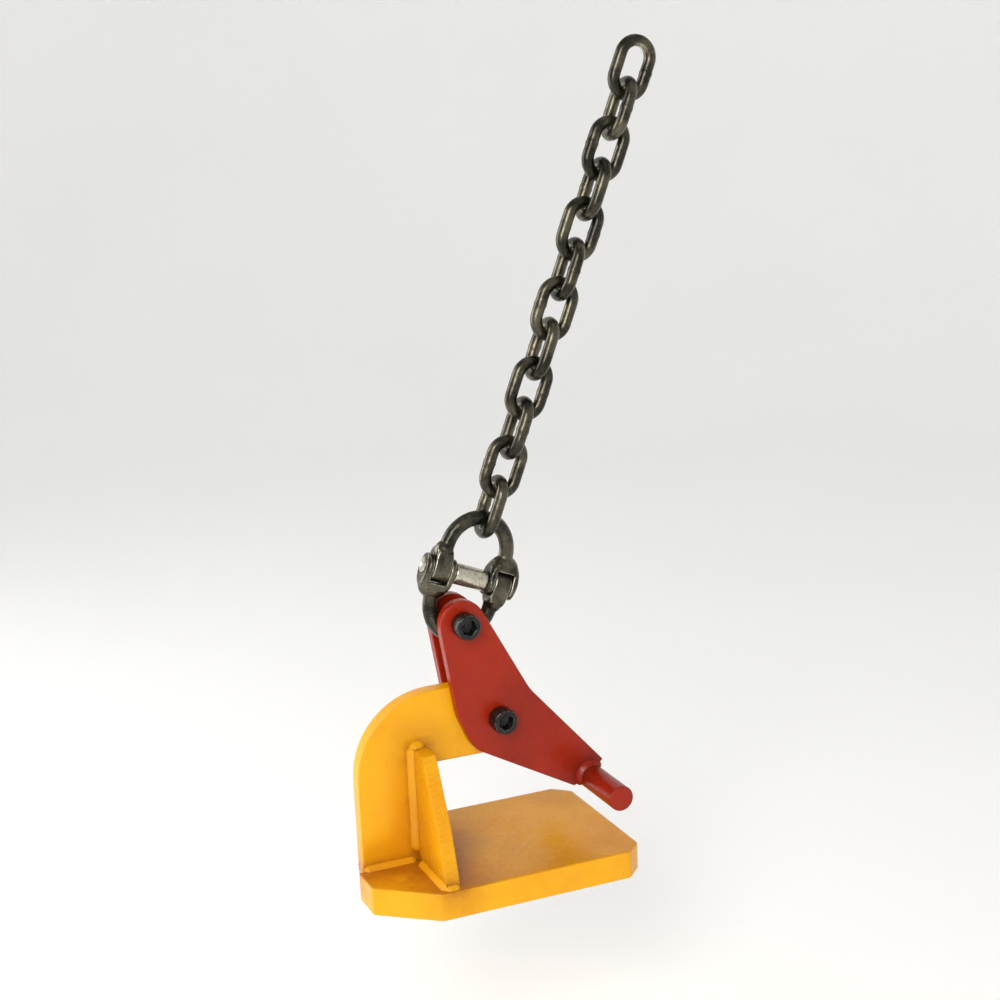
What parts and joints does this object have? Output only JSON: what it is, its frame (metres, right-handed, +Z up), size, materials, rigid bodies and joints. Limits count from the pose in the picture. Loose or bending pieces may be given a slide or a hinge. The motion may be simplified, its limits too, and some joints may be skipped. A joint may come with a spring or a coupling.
{
  "type": "plate lifting clamp",
  "caption": "Plate lifting clamp: a C-shaped body with a base and gussets, a two-plate pull lever with a press bar, a connecting link and a leg of chain.",
  "frame": {"origin": "bearing point inside the top of the highest chain link, on the middle plane", "axes": "+Z up, +X from the back of the body into its throat, +Y across the jaw; the leg slopes down towards -X"},
  "size_m": [0.2489, 0.131, 0.5741],
  "materials": {
    "yellow_enamel": "glossy yellow enamel over welded plate",
    "red_enamel": "glossy red enamel",
    "bolts": "black oxide",
    "chain": "dark oiled alloy steel",
    "connecting_link": "dark forged steel",
    "bush": "plain bearing bronze"
  },
  "bodies": {
    "top_link": {"chain_link_12": "chain"},
    "link_11": {"chain_link_11": "chain"},
    "link_10": {"chain_link_10": "chain"},
    "link_09": {"chain_link_09": "chain"},
    "link_08": {"chain_link_08": "chain"},
    "link_07": {"chain_link_07": "chain"},
    "link_06": {"chain_link_06": "chain"},
    "link_05": {"chain_link_05": "chain"},
    "link_04": {"chain_link_04": "chain"},
    "link_03": {"chain_link_03": "chain"},
    "link_02": {"chain_link_02": "chain"},
    "link_01": {"chain_link_01": "chain"},
    "connecting_link": {"link_half_upper": "connecting_link", "link_load_pin": "connecting_link", "link_pin_sleeve": "connecting_link"},
    "connecting_link_lower": {"link_half_lower": "connecting_link"},
    "lever": {"lever_plate_near": "red_enamel", "lever_plate_far": "red_enamel", "press_bar": "red_enamel", "shackle_bolt": "bolts", "shackle_washer": "bolts", "shackle_nut": "bolts", "pivot_bolt": "bolts", "pivot_washer": "bolts", "pivot_nut": "bolts"},
    "clamp_body": {"body_plate": "yellow_enamel", "base_plate": "yellow_enamel", "gusset_near": "yellow_enamel", "gusset_far": "yellow_enamel", "pivot_bush": "bush"}
  },
  "joints": [
    {"name": "chain_swing_11", "type": "hinge", "parent": "top_link", "child": "link_11", "pos_m": [-0.01226, 0, -0.0302], "axis": [0.9265, 0, -0.3762], "range_deg": [-40, 40]},
    {"name": "chain_swing_10", "type": "hinge", "parent": "link_11", "child": "link_10", "pos_m": [-0.01968, 0, -0.04846], "axis": [-0.9265, 0, 0.3762], "range_deg": [-40, 40]},
    {"name": "chain_swing_09", "type": "hinge", "parent": "link_10", "child": "link_09", "pos_m": [-0.03356, 0, -0.08265], "axis": [0.9265, 0, -0.3762], "range_deg": [-40, 40]},
    {"name": "chain_swing_08", "type": "hinge", "parent": "link_09", "child": "link_08", "pos_m": [-0.04097, 0, -0.1009], "axis": [-0.9265, 0, 0.3762], "range_deg": [-40, 40]},
    {"name": "chain_swing_07", "type": "hinge", "parent": "link_08", "child": "link_07", "pos_m": [-0.05485, 0, -0.13509], "axis": [0.9265, 0, -0.3762], "range_deg": [-40, 40]},
    {"name": "chain_swing_06", "type": "hinge", "parent": "link_07", "child": "link_06", "pos_m": [-0.06227, 0, -0.15334], "axis": [-0.9265, 0, 0.3762], "range_deg": [-40, 40]},
    {"name": "chain_swing_05", "type": "hinge", "parent": "link_06", "child": "link_05", "pos_m": [-0.07615, 0, -0.18753], "axis": [0.9265, 0, -0.3762], "range_deg": [-40, 40]},
    {"name": "chain_swing_04", "type": "hinge", "parent": "link_05", "child": "link_04", "pos_m": [-0.08356, 0, -0.20578], "axis": [-0.9265, 0, 0.3762], "range_deg": [-40, 40]},
    {"name": "chain_swing_03", "type": "hinge", "parent": "link_04", "child": "link_03", "pos_m": [-0.09744, 0, -0.23997], "axis": [0.9265, 0, -0.3762], "range_deg": [-40, 40]},
    {"name": "chain_swing_02", "type": "hinge", "parent": "link_03", "child": "link_02", "pos_m": [-0.10485, 0, -0.25822], "axis": [-0.9265, 0, 0.3762], "range_deg": [-40, 40]},
    {"name": "chain_swing_01", "type": "hinge", "parent": "link_02", "child": "link_01", "pos_m": [-0.11874, 0, -0.29241], "axis": [0.9265, 0, -0.3762], "range_deg": [-40, 40]},
    {"name": "link_swing", "type": "hinge", "parent": "link_01", "child": "connecting_link", "pos_m": [-0.12581, 0, -0.30983], "axis": [-0.9265, 0, 0.3762], "range_deg": [-40, 40]},
    {"name": "link_fold", "type": "hinge", "parent": "connecting_link", "child": "connecting_link_lower", "pos_m": [-0.14161, 0, -0.34875], "axis": [0.9265, 0, -0.3762], "range_deg": [-35, 35]},
    {"name": "lever_swing", "type": "hinge", "parent": "connecting_link_lower", "child": "lever", "pos_m": [-0.15309, 0, -0.377], "axis": [0, -1, 0], "range_deg": [-40, 36]},
    {"name": "jaw", "type": "hinge", "parent": "lever", "child": "clamp_body", "pos_m": [-0.12909, 0, -0.449], "axis": [0, -1, 0], "range_deg": [-30, 36.5]}
  ]
}
